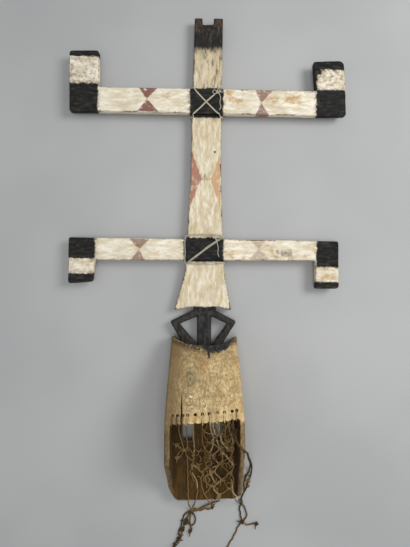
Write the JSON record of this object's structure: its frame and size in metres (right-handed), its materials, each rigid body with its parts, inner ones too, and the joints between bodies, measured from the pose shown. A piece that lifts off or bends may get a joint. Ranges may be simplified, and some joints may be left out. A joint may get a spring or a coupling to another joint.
{
  "type": "dogon kanaga mask",
  "caption": "Tall carved wooden dance mask with a hollow box head, a post figure, a mast and lashed crossbars with end blades, and a knotted cord hood.",
  "frame": {"origin": "middle of the carved wood's footprint, on the surface the mask lies on, face down", "axes": "+Y up the mask from chin to mast top, +Z out of the hollow back, +X across to the side of the right blades"},
  "size_m": [0.6558, 1.3018, 0.165],
  "materials": {
    "carved_wood": "dry weathered",
    "painted_wood": "chalky",
    "pale_string": "twisted",
    "plant_fibre": "twisted"
  },
  "bodies": {
    "root": {"mask": "carved_wood", "upper_crossbar": "painted_wood", "lower_crossbar": "painted_wood", "upper_lashing": "pale_string", "lower_lashing": "pale_string", "hood_net": "plant_fibre"}
  },
  "joints": []
}
